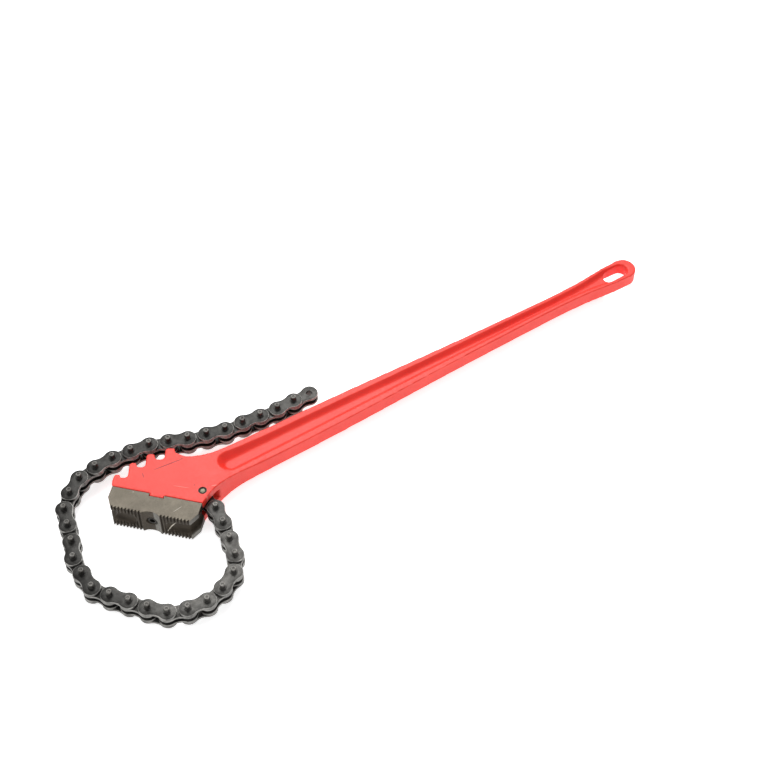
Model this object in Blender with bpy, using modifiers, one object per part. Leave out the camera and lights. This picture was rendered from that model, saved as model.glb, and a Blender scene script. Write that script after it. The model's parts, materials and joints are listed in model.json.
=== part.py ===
"""Heavy-duty chain wrench: a forged handle with a forked, hooked head, a toothed
jaw block bolted to the head, and a riveted chain that hangs on an anchor pin.

Run it with: blender --background --python part.py

Metres, +Z up. The wrench lies on its side, with the head's flat face on z = 0.
+X runs along the handle from the head to the hanging eye, and +Y points to the
side with the hooks. The origin is under the middle of the whole wrench, with the
chain lying as dropped. The shapes are drawn in millimetres around the anchor
pin's axis, and one root empty carries them to their place.
"""
from math import atan2, cos, dist, pi, radians, sin, sqrt

import bmesh
import bpy
from mathutils import Matrix, Vector

MM = 0.001

# Head, jaw and handle, in millimetres from the anchor pin's axis.
HEAD_THICK = 31.0
MID_Z = HEAD_THICK / 2
BEAM_MID_Y = 20.0
EYE_X, EYE_R = 526.0, 13.0
EYE_SLOT_LEFT, EYE_SLOT_RIGHT, EYE_SLOT_R = 506.5, 521.5, 8.5
POCKET_START, POCKET_END, POCKET_DEPTH = 33.0, 484.0, 5.0
# (distance along the handle, half the depth of the beam, half the pocket's)
BEAM_STATIONS = [(42, 17.2, 8.4), (100, 17.0, 8.0), (180, 15.4, 6.8), (240, 13.2, 5.6),
                 (300, 11.2, 4.7), (360, 9.8, 3.9), (430, 8.6, 3.2), (468, 9.2, 3.6),
                 (500, 12.0, 5.0)]
# (distance along the handle, half its thickness)
THICK_STATIONS = [(-110, 15.5), (10, 15.5), (20, 14.0), (38, 11.4), (62, 9.7),
                  (110, 8.7), (430, 8.1), (560, 7.4)]
PROFILE_REACH = 90.0

# Hooks: a row of teeth one chain pitch apart, under a shallow arch.
FIRST_HOOK_X, HOOK_STEP = -60.9, 19.3
HOOK_LEAN, HOOK_TIP_R, HOOK_BACK_R, SEAT_R = 33, 1.8, 3.0, 3.6
# (width across the hook, drop from its tip to the floor of the pin seat on its right)
HOOKS = ((6.2, 3.4), (6.8, 5.0), (7.9, 6.2), (9.2, 5.9))
FORK_GAP, FORK_FLOOR_Y = 16.6, 43.5
LINK_SLOT, LINK_SLOT_R, LINK_SLOT_WALL_X = 12.6, 11.0, 18.5

# Jaw block: its own axes are u, along the block, and v, out towards the pipe.
JAW_ANGLE = radians(-45)
JAW_MID_U, JAW_HALF = -41.0, 45.0
JAW_SEAT_V, JAW_SIDE_V, JAW_TIP_V = 14.0, 27.0, 37.6
KEY_HALF, KEY_HIGH = 7.0, 3.0
PAD_START, TOOTH_PITCH, TOOTH_DEPTH, PAD_TEETH = 8.7, 3.38, 2.1, 9
RECESS_DEPTH = 2.8
SCREW_HEAD_R, SCREW_HEAD_LONG, SCREW_SEAT_V = 4.8, 5.2, 29.0
SCREW_R, SCREW_END_V = 3.0, -4.0
SOCKET_R, SOCKET_DEPTH = 2.9, 2.6
# The channel that lets the chain run past each end of the jaw: the centre lines of
# three round cutters, as (distance from the jaw's middle, v) at either end of each.
CHANNEL_R = 9.5
CHANNEL_RUNS = (((11.0, 50.0), (22.9, 42.0)), ((18.0, 43.75), (53.0, 37.6)),
                ((40.0, 45.4), (53.4, 14.0)))

# Chain.
PITCH = 19.05
PLATE_R, WAIST = 8.9, 6.7
PLATE_THICK, BUSH_LONG, BUSH_R, BORE_R = 2.5, 5.0, 5.1, 3.25
PIN_R, PIN_LONG = 2.7, 27.2
ROUND_SIDES = 8
COUNTERSINK_R, COUNTERSINK_DEPTH = 3.9, 0.8

GAP = 0.3

# How the chain lies: the heading of the anchored link, then the bend at each
# chain pin, in degrees. A negative bend turns clockwise seen from above.
FIRST_HEADING = -80
BENDS = [-17, -3, -3, -19, -29, -15, -21, -14, -26, -6, 1, -4, -31, -4, -19, 6,
         -1, -26, -13, -26, -7, -9, -2, -11, -3, 6, 2, 9, -2, 3, 5, 3]

RED = (0.78, 0.055, 0.035)
JAW_GREY = (0.24, 0.21, 0.17)
CHAIN_GREY = (0.055, 0.052, 0.048)
PIN_GREY = (0.16, 0.155, 0.145)


# ---------------------------------------------------------------- plane shapes
def arc(centre, radius, start, end, steps):
    """Points on an arc, from one angle to the other, both in degrees."""
    angles = [radians(start + (end - start) * i / steps) for i in range(steps + 1)]
    return [(centre[0] + radius * cos(a), centre[1] + radius * sin(a)) for a in angles]


def between(stations, x, column=1):
    """The value in a column of the stations, read off between them at x."""
    for low, high in zip(stations, stations[1:]):
        if x <= high[0]:
            t = max(0.0, (x - low[0]) / (high[0] - low[0]))
            return low[column] + (high[column] - low[column]) * t
    return stations[-1][column]


def from_jaw(u, v):
    """A point in the jaw's own axes, in the wrench's plane."""
    along = (cos(JAW_ANGLE), sin(JAW_ANGLE))
    return (u * along[0] + v * along[1], u * along[1] - v * along[0])


def hook_tip_y(x):
    return 65.5 - 0.0055 * (x + 31.1) ** 2


def by_hook(index, across, up):
    """A point by a hook's tip, measured across and up along the hook's leaning axis."""
    x = FIRST_HOOK_X + HOOK_STEP * index
    lean = radians(HOOK_LEAN)
    return (x + across * cos(lean) + up * sin(lean),
            hook_tip_y(x) - across * sin(lean) + up * cos(lean))


def next_flank(index):
    """How far the next hook's near flank is from a hook's axis, across it."""
    x = FIRST_HOOK_X + HOOK_STEP * index
    rise = hook_tip_y(x + HOOK_STEP) - hook_tip_y(x)
    lean = radians(HOOK_LEAN)
    return HOOK_STEP * cos(lean) - rise * sin(lean) - HOOKS[index + 1][0] / 2


def hook_outline(index):
    """One hook, from the pin seat on its right over its tip to its left shoulder."""
    wide, drop = HOOKS[index]
    seat_r = min(SEAT_R, drop - HOOK_TIP_R)
    points, floor = [], -107
    if index + 1 < len(HOOKS):
        foot = by_hook(index, next_flank(index) - SEAT_R, SEAT_R - drop)
        points, floor = arc(foot, SEAT_R, -HOOK_LEAN, -90 - HOOK_LEAN, 3), -90
    seat = by_hook(index, wide / 2 + seat_r, seat_r - drop)
    points += arc(seat, seat_r, floor - HOOK_LEAN, -180 - HOOK_LEAN, 3)
    for side, radius, start in ((1, HOOK_TIP_R, 0), (-1, HOOK_BACK_R, 90)):
        corner = by_hook(index, side * (wide / 2 - radius), -radius)
        points += arc(corner, radius, start - HOOK_LEAN, start + 90 - HOOK_LEAN, 3)
    return points


def head_outline():
    """The head and the beam seen from above, anticlockwise."""
    near = [from_jaw(JAW_MID_U + JAW_HALF, JAW_SEAT_V), (-4.0, -11.0), (3.0, -7.0)]
    near += [(11.0, -3.4), (20.0, -0.6), (30.0, 1.6)]
    near += [(x, BEAM_MID_Y - deep) for x, deep, _ in BEAM_STATIONS]
    eye = arc((EYE_X, BEAM_MID_Y), EYE_R, -90, 90, 12)
    far = [(x, BEAM_MID_Y + deep) for x, deep, _ in reversed(BEAM_STATIONS)]
    far += [(30.0, 37.4), (20.0, 38.8), (11.0, 41.6), (5.0, 44.8)]
    hooks = []
    for index in reversed(range(len(HOOKS))):
        hooks += hook_outline(index)
    left = [(-68.0, 57.0), (-70.4, 53.0), from_jaw(JAW_MID_U - JAW_HALF, JAW_SEAT_V)]
    key = [from_jaw(JAW_MID_U - KEY_HALF, JAW_SEAT_V),
           from_jaw(JAW_MID_U - KEY_HALF, JAW_SEAT_V + KEY_HIGH),
           from_jaw(JAW_MID_U + KEY_HALF, JAW_SEAT_V + KEY_HIGH),
           from_jaw(JAW_MID_U + KEY_HALF, JAW_SEAT_V)]
    return near + eye + far + hooks + left + key


def side_profile():
    """The handle's thickness along its length, as (x, z) points."""
    low = [(x, MID_Z - half) for x, half in THICK_STATIONS]
    high = [(x, MID_Z + half) for x, half in reversed(THICK_STATIONS)]
    return low + high


def pocket_outline():
    """The recess that gives the beam its I section."""
    first = BEAM_STATIONS[0][2]
    last = between(BEAM_STATIONS, POCKET_END, 2)
    inner = [s for s in BEAM_STATIONS if POCKET_START < s[0] < POCKET_END]
    low = [(x, BEAM_MID_Y - half) for x, _, half in inner]
    high = [(x, BEAM_MID_Y + half) for x, _, half in reversed(inner)]
    right = arc((POCKET_END - last, BEAM_MID_Y), last, -90, 90, 6)
    left = arc((POCKET_START + first, BEAM_MID_Y), first, 90, 270, 6)
    return low[1:] + right + high[:-1] + left


def eye_slot_outline():
    right = arc((EYE_SLOT_RIGHT, BEAM_MID_Y), EYE_SLOT_R, -90, 90, 8)
    left = arc((EYE_SLOT_LEFT, BEAM_MID_Y), EYE_SLOT_R, 90, 270, 8)
    return right + left


def link_slot_outline():
    """Room for the anchored link to swing, open towards the jaw's end."""
    wall = LINK_SLOT_WALL_X
    shoulder = LINK_SLOT_R * sqrt(2) - wall
    below = -30.0
    around = arc((0, 0), LINK_SLOT_R, 45, 180, 8)
    return [(-LINK_SLOT_R, below), (wall, below), (wall, shoulder)] + around


def tooth_line(side):
    """The toothed pad on one side of the jaw's middle, from the middle outwards."""
    points = []
    for tooth in range(PAD_TEETH):
        start = PAD_START + tooth * TOOTH_PITCH
        for offset, drop in ((0.0, 0.0), (0.3, 0.0), (0.62, 1.0), (0.72, 1.0)):
            du = start + offset * TOOTH_PITCH
            points.append((JAW_MID_U + side * du, JAW_TIP_V - drop * TOOTH_DEPTH))
    return points


def jaw_outline():
    """The jaw block in its own axes: u along it and v out towards the pipe."""
    pad_end = PAD_START + PAD_TEETH * TOOTH_PITCH
    seat = JAW_SEAT_V + GAP
    groove = KEY_HALF + GAP
    floor = seat + KEY_HIGH
    left_end, right_end = JAW_MID_U - JAW_HALF, JAW_MID_U + JAW_HALF
    back = [(left_end, seat), (JAW_MID_U - groove, seat), (JAW_MID_U - groove, floor),
            (JAW_MID_U + groove, floor), (JAW_MID_U + groove, seat), (right_end, seat)]
    half_chord = PAD_START - 0.8
    recess = [(JAW_MID_U + half_chord * sin(radians(a)),
               JAW_TIP_V - RECESS_DEPTH * cos(radians(a))) for a in (75, 45, 15, -15, -45, -75)]
    right = [(right_end, JAW_SIDE_V), (JAW_MID_U + pad_end, JAW_TIP_V)]
    left = [(JAW_MID_U - pad_end, JAW_TIP_V), (left_end, JAW_SIDE_V)]
    pads = list(reversed(tooth_line(1))) + recess + tooth_line(-1)
    return back + right + pads + left


def plate_outline():
    """A waisted chain plate, centred between its two pins."""
    half = PITCH / 2
    waist_r = (half ** 2 + WAIST ** 2 - PLATE_R ** 2) / (2 * (PLATE_R - WAIST))
    waist_y = WAIST + waist_r
    reach = 180 - atan2(waist_y, half) * 180 / pi
    spread = 90 - atan2(waist_y, half) * 180 / pi
    right = arc((half, 0), PLATE_R, -reach, reach, 6)
    top = arc((0, waist_y), waist_r, -90 + spread, -90 - spread, 2)[1:-1]
    left = arc((-half, 0), PLATE_R, 180 - reach, 180 + reach, 6)
    bottom = arc((0, -waist_y), waist_r, 90 + spread, 90 - spread, 2)[1:-1]
    return right + top + left + bottom


def chain_pins():
    """The pin centres along the chain, from the anchor pin to the free end."""
    heading = FIRST_HEADING
    points = [(0.0, 0.0)]
    for bend in [0] + BENDS:
        heading += bend
        x, y = points[-1]
        points.append((x + PITCH * cos(radians(heading)), y + PITCH * sin(radians(heading))))
    return points


def ground_centre():
    """The middle of the whole wrench's box, seen from above."""
    pins = chain_pins()
    reach = [(p[0] + PLATE_R * cos(radians(a)), p[1] + PLATE_R * sin(radians(a)))
             for p in pins for a in (0, 90, 180, 270)]
    xs = [p[0] for p in reach] + [EYE_X + EYE_R]
    ys = [p[1] for p in reach]
    return ((min(xs) + max(xs)) / 2, (min(ys) + max(ys)) / 2)


# ------------------------------------------------------------- Blender helpers
def clear_scene():
    for old in list(bpy.data.objects):
        bpy.data.objects.remove(old, do_unlink=True)


def new_collection(name):
    collection = bpy.data.collections.new(name)
    bpy.context.scene.collection.children.link(collection)
    return collection


def material(name, colour, roughness, metallic):
    finish = bpy.data.materials.new(name)
    finish.use_nodes = True
    shader = finish.node_tree.nodes["Principled BSDF"]
    shader.inputs["Base Color"].default_value = (*colour, 1.0)
    shader.inputs["Roughness"].default_value = roughness
    shader.inputs["Metallic"].default_value = metallic
    finish.diffuse_color = (*colour, 1.0)
    return finish


def extruded(name, outline, z_low, z_high):
    """A solid from a flat outline in millimetres, as a welded mesh object."""
    curve = bpy.data.curves.new(name, "CURVE")
    curve.dimensions = "2D"
    curve.fill_mode = "BOTH"
    curve.extrude = (z_high - z_low) / 2 * MM
    spline = curve.splines.new("POLY")
    spline.points.add(len(outline) - 1)
    for point, (x, y) in zip(spline.points, outline):
        point.co = (x * MM, y * MM, 0, 1)
    spline.use_cyclic_u = True
    holder = bpy.data.objects.new(name, curve)
    bpy.context.scene.collection.objects.link(holder)
    bpy.context.view_layer.update()
    depsgraph = bpy.context.evaluated_depsgraph_get()
    mesh = bpy.data.meshes.new_from_object(holder.evaluated_get(depsgraph))
    bpy.data.objects.remove(holder, do_unlink=True)
    bpy.data.curves.remove(curve)
    mesh.transform(Matrix.Translation((0, 0, (z_low + z_high) / 2 * MM)))
    close_mesh(mesh)
    mesh.name = name
    return bpy.data.objects.new(name, mesh)


def close_mesh(mesh):
    work = bmesh.new()
    work.from_mesh(mesh)
    bmesh.ops.remove_doubles(work, verts=work.verts, dist=0.00001)
    bmesh.ops.recalc_face_normals(work, faces=work.faces)
    work.to_mesh(mesh)
    work.free()


def cylinder(name, radius, z_low, z_high, sides, centre=(0, 0)):
    """An upright cylinder in millimetres, standing at a point of the plane."""
    work = bmesh.new()
    middle = Vector((centre[0], centre[1], (z_low + z_high) / 2)) * MM
    bmesh.ops.create_cone(work, cap_ends=True, segments=sides, radius1=radius * MM,
                          radius2=radius * MM, depth=(z_high - z_low) * MM,
                          matrix=Matrix.Translation(middle))
    mesh = bpy.data.meshes.new(name)
    work.to_mesh(mesh)
    work.free()
    return bpy.data.objects.new(name, mesh)


def cut(target, cutter, cutters, operation="DIFFERENCE"):
    """Keep the cutter out of sight and let it shape the target."""
    cutters.objects.link(cutter)
    cutter.hide_render = True
    cutter.display_type = "WIRE"
    step = target.modifiers.new(cutter.name, "BOOLEAN")
    step.operation = operation
    step.solver = "EXACT"
    step.object = cutter


def baked(target, parts):
    """The target's finished mesh as plain geometry, for pieces that repeat."""
    parts.objects.link(target)
    bpy.context.view_layer.update()
    depsgraph = bpy.context.evaluated_depsgraph_get()
    mesh = bpy.data.meshes.new_from_object(target.evaluated_get(depsgraph))
    parts.objects.unlink(target)
    mesh.name = target.name
    bpy.data.objects.remove(target, do_unlink=True)
    return mesh


def turned(name, profile, steps):
    """A round solid from an (r, z) profile, listed from its top to its bottom."""
    mesh = bpy.data.meshes.new(name)
    points = [(r * MM, 0, z * MM) for r, z in profile]
    mesh.from_pydata(points, [(i, i + 1) for i in range(len(points) - 1)], [])
    screw = bpy.data.objects.new(name, mesh)
    spin = screw.modifiers.new("spin", "SCREW")
    spin.steps = steps
    spin.render_steps = steps
    spin.use_merge_vertices = True
    spin.merge_threshold = 0.00001
    return screw


def shade(target, finish, angle=35):
    target.data.materials.append(finish)
    target.data.shade_smooth()
    target.data.set_sharp_from_angle(angle=radians(angle))


def pose_on_jaw_axis(target, v):
    """Turn an upright piece so that its +Z points out of the jaw's middle."""
    x, y = from_jaw(JAW_MID_U, v)
    target.location = (x * MM, y * MM, MID_Z * MM)
    target.rotation_euler = (pi / 2, 0, JAW_ANGLE)


def lay_between(target, start, end):
    """Lay an upright piece that stands on z = 0 down at mid height, from start to end."""
    target.location = (start[0] * MM, start[1] * MM, MID_Z * MM)
    target.rotation_euler = (0, pi / 2, atan2(end[1] - start[1], end[0] - start[0]))


# ----------------------------------------------------------------- the handle
def make_handle(parts, cutters, root):
    handle = extruded("handle", head_outline(), 0, HEAD_THICK)
    profile = extruded("handle_side_profile", side_profile(), -PROFILE_REACH, PROFILE_REACH)
    profile.rotation_euler = (pi / 2, 0, 0)
    cut(handle, profile, cutters, "INTERSECT")
    for name, low, high in pocket_levels():
        cut(handle, extruded(name, pocket_outline(), low, high), cutters)
    cut(handle, extruded("eye_slot", eye_slot_outline(), -5, HEAD_THICK + 5), cutters)
    half = FORK_GAP / 2
    fork = [(-95, FORK_FLOOR_Y), (14, FORK_FLOOR_Y), (14, 90), (-95, 90)]
    cut(handle, extruded("fork_gap", fork, MID_Z - half, MID_Z + half), cutters)
    half = LINK_SLOT / 2
    cut(handle, extruded("link_slot", link_slot_outline(), MID_Z - half, MID_Z + half), cutters)
    cut(handle, cylinder("anchor_hole", PIN_R + 1.5 * GAP, -5, HEAD_THICK + 5, 16), cutters)
    for name, low, high in countersink_levels():
        cut(handle, cylinder(name, COUNTERSINK_R, low, high, 16), cutters)
    bore = cylinder("screw_hole", SCREW_R + GAP, SCREW_END_V - GAP, JAW_TIP_V, 16)
    pose_on_jaw_axis(bore, 0)
    cut(handle, bore, cutters)
    shade(handle, material("red_paint", RED, 0.38, 0.0))
    place(handle, parts, root)


def pocket_levels():
    beam_half = between(THICK_STATIONS, 240)
    floor = beam_half - POCKET_DEPTH
    return (("pocket_above", MID_Z + floor, HEAD_THICK + 5),
            ("pocket_below", -5, MID_Z - floor))


def countersink_levels():
    return (("countersink_above", HEAD_THICK - COUNTERSINK_DEPTH, HEAD_THICK + 2),
            ("countersink_below", -2, COUNTERSINK_DEPTH))


def place(target, parts, root):
    """Hang a piece on the root empty, with the cutters that shape it."""
    parts.objects.link(target)
    target.parent = root
    for step in target.modifiers:
        if step.type == "BOOLEAN":
            step.object.parent = root


# ------------------------------------------------------- the jaw and its screw
def make_jaw(parts, cutters, root):
    jaw = extruded("jaw", [from_jaw(u, v) for u, v in jaw_outline()], 0, HEAD_THICK)
    counterbore = cylinder("counterbore", SCREW_HEAD_R + GAP, SCREW_SEAT_V, JAW_TIP_V + 5, 16)
    pose_on_jaw_axis(counterbore, 0)
    cut(jaw, counterbore, cutters)
    clearance = cylinder("screw_clearance", SCREW_R + GAP, 0, JAW_TIP_V, 16)
    pose_on_jaw_axis(clearance, 0)
    cut(jaw, clearance, cutters)
    for side in (-1, 1):
        for start, end in CHANNEL_RUNS:
            ends = [from_jaw(JAW_MID_U + side * u, v) for u, v in (start, end)]
            channel = cylinder("chain_channel", CHANNEL_R, 0, dist(*ends), 24)
            lay_between(channel, *ends)
            cut(jaw, channel, cutters)
    shade(jaw, material("jaw_steel", JAW_GREY, 0.45, 0.85), 25)
    place(jaw, parts, root)


def make_jaw_screw(parts, cutters, root):
    top = SCREW_SEAT_V + GAP + SCREW_HEAD_LONG
    under = SCREW_SEAT_V + GAP
    profile = [(0, top), (SCREW_HEAD_R - 0.5, top), (SCREW_HEAD_R, top - 0.5),
               (SCREW_HEAD_R, under), (SCREW_R, under), (SCREW_R, SCREW_END_V + 0.6),
               (SCREW_R - 0.6, SCREW_END_V), (0, SCREW_END_V)]
    screw = turned("jaw_screw", profile, 16)
    socket = cylinder("hex_socket", SOCKET_R, top - SOCKET_DEPTH, top + 2, 6)
    cut(screw, socket, cutters)
    for piece in (screw, socket):
        pose_on_jaw_axis(piece, 0)
    shade(screw, material("screw_steel", PIN_GREY, 0.4, 0.9))
    place(screw, parts, root)


# ------------------------------------------------------------------ the chain
def make_anchor_pin(parts, root):
    pin = cylinder("chain_anchor_pin", PIN_R, COUNTERSINK_DEPTH / 2,
                   HEAD_THICK - COUNTERSINK_DEPTH / 2, 12)
    shade(pin, material("anchor_pin_steel", PIN_GREY, 0.35, 0.9))
    place(pin, parts, root)


def plate_levels(inner_face):
    """The upper and the lower plate's height span, measured from the middle."""
    outer_face = inner_face + PLATE_THICK
    return ((inner_face, outer_face), (-outer_face, -inner_face))


def pair_of_cylinders(name, radius, half):
    """An upright cylinder at each of a link's two pins, as one cutter."""
    left, right = (cylinder(name, radius, -half, half, ROUND_SIDES, (side * PITCH / 2, 0))
                   for side in (-1, 1))
    return joined(left, right)


def joined(first, second):
    """The first piece with the second one's mesh added as a separate shell."""
    work = bmesh.new()
    for piece in (first, second):
        work.from_mesh(piece.data)
    work.to_mesh(first.data)
    work.free()
    bpy.data.objects.remove(second, do_unlink=True)
    return first


def link_with_cores(name, inner_face, core_r, core_half, cutters):
    """Two plates joined by a round core at each pin, centred between the pins."""
    upper, lower = (extruded(name, plate_outline(), *level) for level in plate_levels(inner_face))
    link = joined(upper, lower)
    cut(link, pair_of_cylinders(name + "_cores", core_r, core_half), cutters, "UNION")
    return link


def inner_link_mesh(parts, cutters):
    """Two plates on two bushes, bored for the pins."""
    inner_face = BUSH_LONG / 2
    core_half = inner_face + PLATE_THICK / 2
    link = link_with_cores("inner_link", inner_face, BUSH_R, core_half, cutters)
    cut(link, pair_of_cylinders("bush_bores", BORE_R, 2 * PLATE_R), cutters)
    return baked(link, parts)


def outer_link_mesh(parts, cutters):
    """Two plates riveted on two long pins."""
    inner_face = BUSH_LONG / 2 + PLATE_THICK + GAP
    return baked(link_with_cores("outer_link", inner_face, PIN_R, PIN_LONG / 2, cutters), parts)


def make_chain(parts, cutters, root):
    """Each link hangs on the pivot empty of the pin that it turns on."""
    kinds = (("inner_link", inner_link_mesh(parts, cutters), CHAIN_GREY),
             ("outer_link", outer_link_mesh(parts, cutters), PIN_GREY))
    finishes = [material(kind + "_steel", colour, 0.5, 0.8) for kind, _, colour in kinds]
    for (_, mesh, _), finish in zip(kinds, finishes):
        mesh.materials.append(finish)
        mesh.shade_smooth()
        mesh.set_sharp_from_angle(angle=radians(30))
    parent = root
    for index, bend in enumerate([FIRST_HEADING] + BENDS):
        kind, mesh, _ = kinds[index % 2]
        pivot = bpy.data.objects.new(f"pivot_{index:02d}", None)
        pivot.empty_display_size = PIN_R * MM
        pivot.location = (PITCH * MM, 0, 0) if index else (0, 0, MID_Z * MM)
        pivot.rotation_euler = (0, 0, radians(bend))
        pivot.parent = parent
        parts.objects.link(pivot)
        link = bpy.data.objects.new(f"{kind}_{index // 2:02d}", mesh)
        link.location = (PITCH / 2 * MM, 0, 0)
        link.parent = pivot
        parts.objects.link(link)
        parent = pivot


def main():
    clear_scene()
    parts = new_collection("chain_wrench")
    cutters = new_collection("chain_wrench_cutters")
    root = bpy.data.objects.new("wrench_root", None)
    middle = ground_centre()
    root.location = (-middle[0] * MM, -middle[1] * MM, 0)
    parts.objects.link(root)
    make_handle(parts, cutters, root)
    make_jaw(parts, cutters, root)
    make_jaw_screw(parts, cutters, root)
    make_anchor_pin(parts, root)
    make_chain(parts, cutters, root)


main()
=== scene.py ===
"""The looks of the chain wrench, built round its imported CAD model.

The handle is remeshed from its solid shapes, so that it gets the soft edges of a forging.
The jaw, its screw, the anchor pin and the two kinds of chain link are modelled finely, and
each stands for the CAD node in the same place. Shapes are drawn in millimetres from the
anchor pin's axis, as in the CAD model, and then carried to the row frame.
"""
import json
from math import atan2, cos, dist, hypot, pi, radians, sin, sqrt, tau

import bmesh
import bpy
from mathutils import Matrix, Vector


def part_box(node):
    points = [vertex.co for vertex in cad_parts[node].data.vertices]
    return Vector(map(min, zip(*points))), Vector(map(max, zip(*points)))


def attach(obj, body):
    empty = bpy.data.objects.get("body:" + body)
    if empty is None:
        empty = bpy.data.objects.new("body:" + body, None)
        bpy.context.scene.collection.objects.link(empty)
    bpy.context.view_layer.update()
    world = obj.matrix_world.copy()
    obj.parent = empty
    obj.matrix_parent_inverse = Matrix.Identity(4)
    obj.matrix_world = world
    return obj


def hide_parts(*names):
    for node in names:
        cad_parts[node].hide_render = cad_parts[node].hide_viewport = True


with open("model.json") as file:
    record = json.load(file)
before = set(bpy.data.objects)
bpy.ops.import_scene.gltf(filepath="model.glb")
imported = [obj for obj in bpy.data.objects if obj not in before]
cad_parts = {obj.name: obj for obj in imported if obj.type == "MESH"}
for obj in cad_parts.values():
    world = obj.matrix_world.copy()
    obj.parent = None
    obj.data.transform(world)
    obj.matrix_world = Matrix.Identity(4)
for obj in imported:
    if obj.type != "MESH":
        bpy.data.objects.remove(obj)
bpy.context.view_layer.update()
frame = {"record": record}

JOINTS = {joint["name"]: joint for joint in frame["record"]["behaviour"]["joints"]}
MM = 0.001
ANCHOR = Vector(JOINTS["chain_joint_00"]["pos_m"])
TO_ROW = Matrix.Translation((ANCHOR.x, ANCHOR.y, 0)) @ Matrix.Scale(MM, 4)

# Head and handle.
HEAD_THICK = 31.0
MID_Z = HEAD_THICK / 2
BEAM_MID_Y = 20.0
EYE_X, EYE_R = 526.0, 13.0
EYE_SLOT_LEFT, EYE_SLOT_RIGHT, EYE_SLOT_R = 508.0, 521.5, 7.6
# The outline's free corners: from the jaw to the beam, from the beam to the hooks, and
# from the hooks back to the jaw.
NEAR_NECK = [(-4.0, -11.0), (3.0, -7.0), (11.0, -3.4), (20.0, -0.6), (30.0, 1.6)]
FAR_NECK = [(30.0, 37.4), (20.0, 38.8), (11.0, 41.6), (5.0, 44.8)]
FRONT_CORNERS = [(-68.0, 57.0), (-70.4, 53.0)]
POCKET_START, POCKET_HALF_LEAST = 33.0, 0.7
WEB_HALF = 3.4
# (height above the web, growth of the pocket's outline there), round the floor's edge
POCKET_FLOOR = [(0.0, -4.2), (0.3, -2.8), (1.0, -1.6), (2.2, -0.6)]
POCKET_DRAFT, POCKET_PAST = 0.75, 6.0
# (distance along the handle, half the depth of the beam, half the pocket's)
BEAM = [(42, 17.2, 8.4), (100, 17.0, 8.0), (180, 15.4, 6.8), (240, 13.2, 5.6), (300, 11.2, 4.7),
        (360, 9.8, 3.9), (430, 8.6, 3.3), (468, 9.2, 4.3), (490, 11.0, 6.4), (506, 12.5, 8.5)]
# (distance along the handle, half its thickness)
THICKNESS = [(-110, 15.5), (4, 15.5), (14, 14.9), (24, 13.5), (38, 11.4), (62, 9.7),
             (110, 8.7), (430, 8.1), (560, 7.4)]
PROFILE_REACH = 90.0

# Hooks.
FIRST_HOOK_X, HOOK_STEP = -60.9, 19.3
HOOK_LEAN, HOOK_TIP_R, HOOK_BACK_R, SEAT_R = 33, 1.8, 3.0, 3.6
# (width across the hook, drop from its tip to the floor of the pin seat on its right)
HOOKS = ((6.2, 3.4), (6.8, 5.0), (7.9, 6.2), (9.2, 5.9))
# The hooks' tips lie on a shallow arch.
ARCH_TOP_X, ARCH_TOP_Y, ARCH_FALL = -31.1, 65.5, 0.0055
# The direction in which the floor of a pin seat starts, between two hooks and past the
# last one, in degrees from the hooks' width.
SEAT_FLOOR, LAST_SEAT_FLOOR = -90, -107
HOOK_STEPS = 8
FORK_GAP, FORK_FLOOR_Y = 16.6, 43.5
FORK_LEFT_X, FORK_RIGHT_X, FORK_OPEN_Y = -95, 14, 90
LINK_SLOT, LINK_SLOT_R, LINK_SLOT_WALL_X, LINK_SLOT_OPEN_Y = 12.6, 11.0, 20.5, -30.0

# Jaw: u runs along the block and v out towards the pipe.
JAW_ANGLE = radians(-45)
JAW_MID_U, JAW_HALF = -41.0, 45.0
JAW_SEAT_V, JAW_SIDE_V, JAW_TIP_V = 14.0, 27.0, 37.6
KEY_HALF, KEY_HIGH = 7.0, 3.0
PAD_START, TOOTH_PITCH, TOOTH_DEPTH, PAD_TEETH = 8.7, 3.38, 2.1, 9
# (share of the tooth's pitch, share of its depth), from the crest to the root
TOOTH = ((0.0, 0.0), (0.3, 0.0), (0.62, 1.0), (0.72, 1.0))
RECESS_HALF, RECESS_DEPTH = 7.9, 2.8
RECESS_V = JAW_TIP_V - RECESS_DEPTH
SCREW_HEAD_R, SCREW_HEAD_LONG, SCREW_SEAT_V = 4.8, 5.2, 29.0
SCREW_R, SCREW_END_V = 3.0, -4.0
SOCKET_R, SOCKET_DEPTH = 2.9, 2.6
# The round channel's two ends in each of its runs: (u from the jaw's middle, v).
CHANNEL_R = 9.5
CHANNEL_RUNS = (((11.0, 50.0), (22.9, 42.0)), ((18.0, 43.75), (53.0, 37.6)),
                ((40.0, 45.4), (53.4, 14.0)))

# Chain.
PITCH = 19.05
PLATE_R, WAIST = 8.75, 6.6
PLATE_THICK, BUSH_LONG, BUSH_R, BORE_R = 2.5, 5.0, 5.1, 3.25
PLATE_BEVEL = 0.45
PIN_R, PIN_LONG = 2.7, 27.2
COLLAR_R, COLLAR_HIGH = 3.7, 0.7
# (radius, depth below the pin's end) of the dimple that riveting leaves
DIMPLE = ((1.4, 0.0), (0.9, 0.45), (0.25, 0.55))
ANCHOR_RING_R, ANCHOR_RING_DEEP = 3.9, 0.8
# The chain's finishes, by their number in its meshes, and those of a bevelled slab from
# its foot to its top and then on its two faces.
PLATE, RIM, EDGE, PIN, TIP = range(5)
SLAB_BANDS = [RIM, RIM, EDGE, RIM, RIM, PLATE, PLATE]

GAP = 0.3
# How far a cutter goes past the surface that it cuts through.
PAST = 5
# A bevelled rim, as (share of the bevel inwards, share of it from the face).
RIM_STEPS = ((1.0, 0.0), (0.3, 0.3), (0.0, 1.0))
# Keeps the sharpest corners of an outline from shooting inwards when it is inset.
MITRE_LEAST = 0.8
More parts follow.
